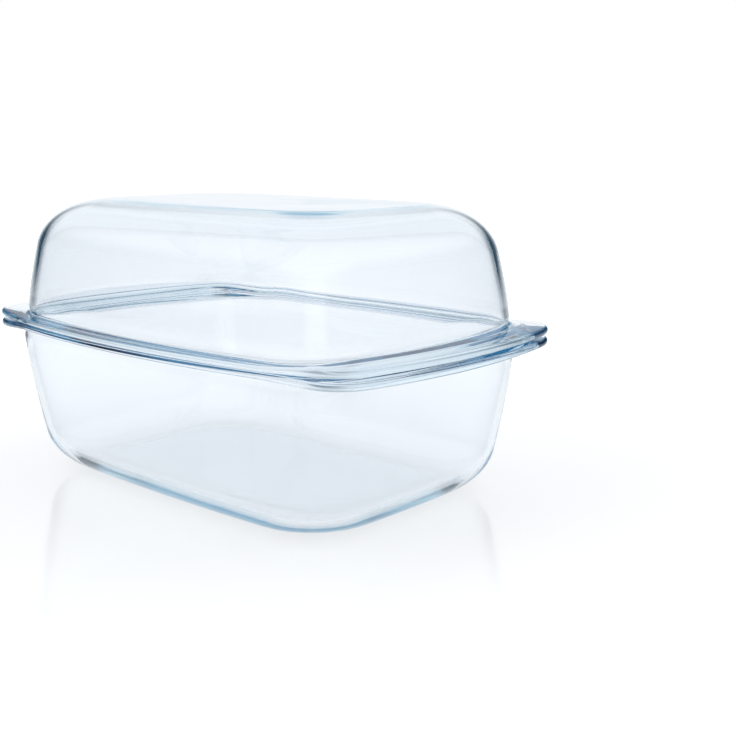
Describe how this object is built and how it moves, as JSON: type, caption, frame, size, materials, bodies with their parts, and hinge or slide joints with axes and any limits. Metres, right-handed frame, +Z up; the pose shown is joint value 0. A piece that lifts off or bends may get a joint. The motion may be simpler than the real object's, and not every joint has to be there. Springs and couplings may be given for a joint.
{
  "type": "covered casserole dish",
  "caption": "Deep rectangular roasting dish of clear pressed glass, with flat end handles and a tall domed lid that rests on the rim and lifts straight off.",
  "frame": {"origin": "centre of the dish's flat underside, on the surface it stands on", "axes": "+X along the length from handle to handle, +Y across the width, +Z up"},
  "size_m": [0.38, 0.249, 0.1963],
  "materials": {
    "dish_glass": "clear, fire-polished, faint cold tint in the edges",
    "lid_glass": "clear, fire-polished, faint cold tint in the edges"
  },
  "bodies": {
    "dish": {"dish": "dish_glass"},
    "lid": {"lid": "lid_glass"}
  },
  "joints": [
    {"name": "lid_lift", "type": "slide", "parent": "dish", "child": "lid", "axis": [0, 0, 1], "range_m": [0, 0.25]}
  ]
}
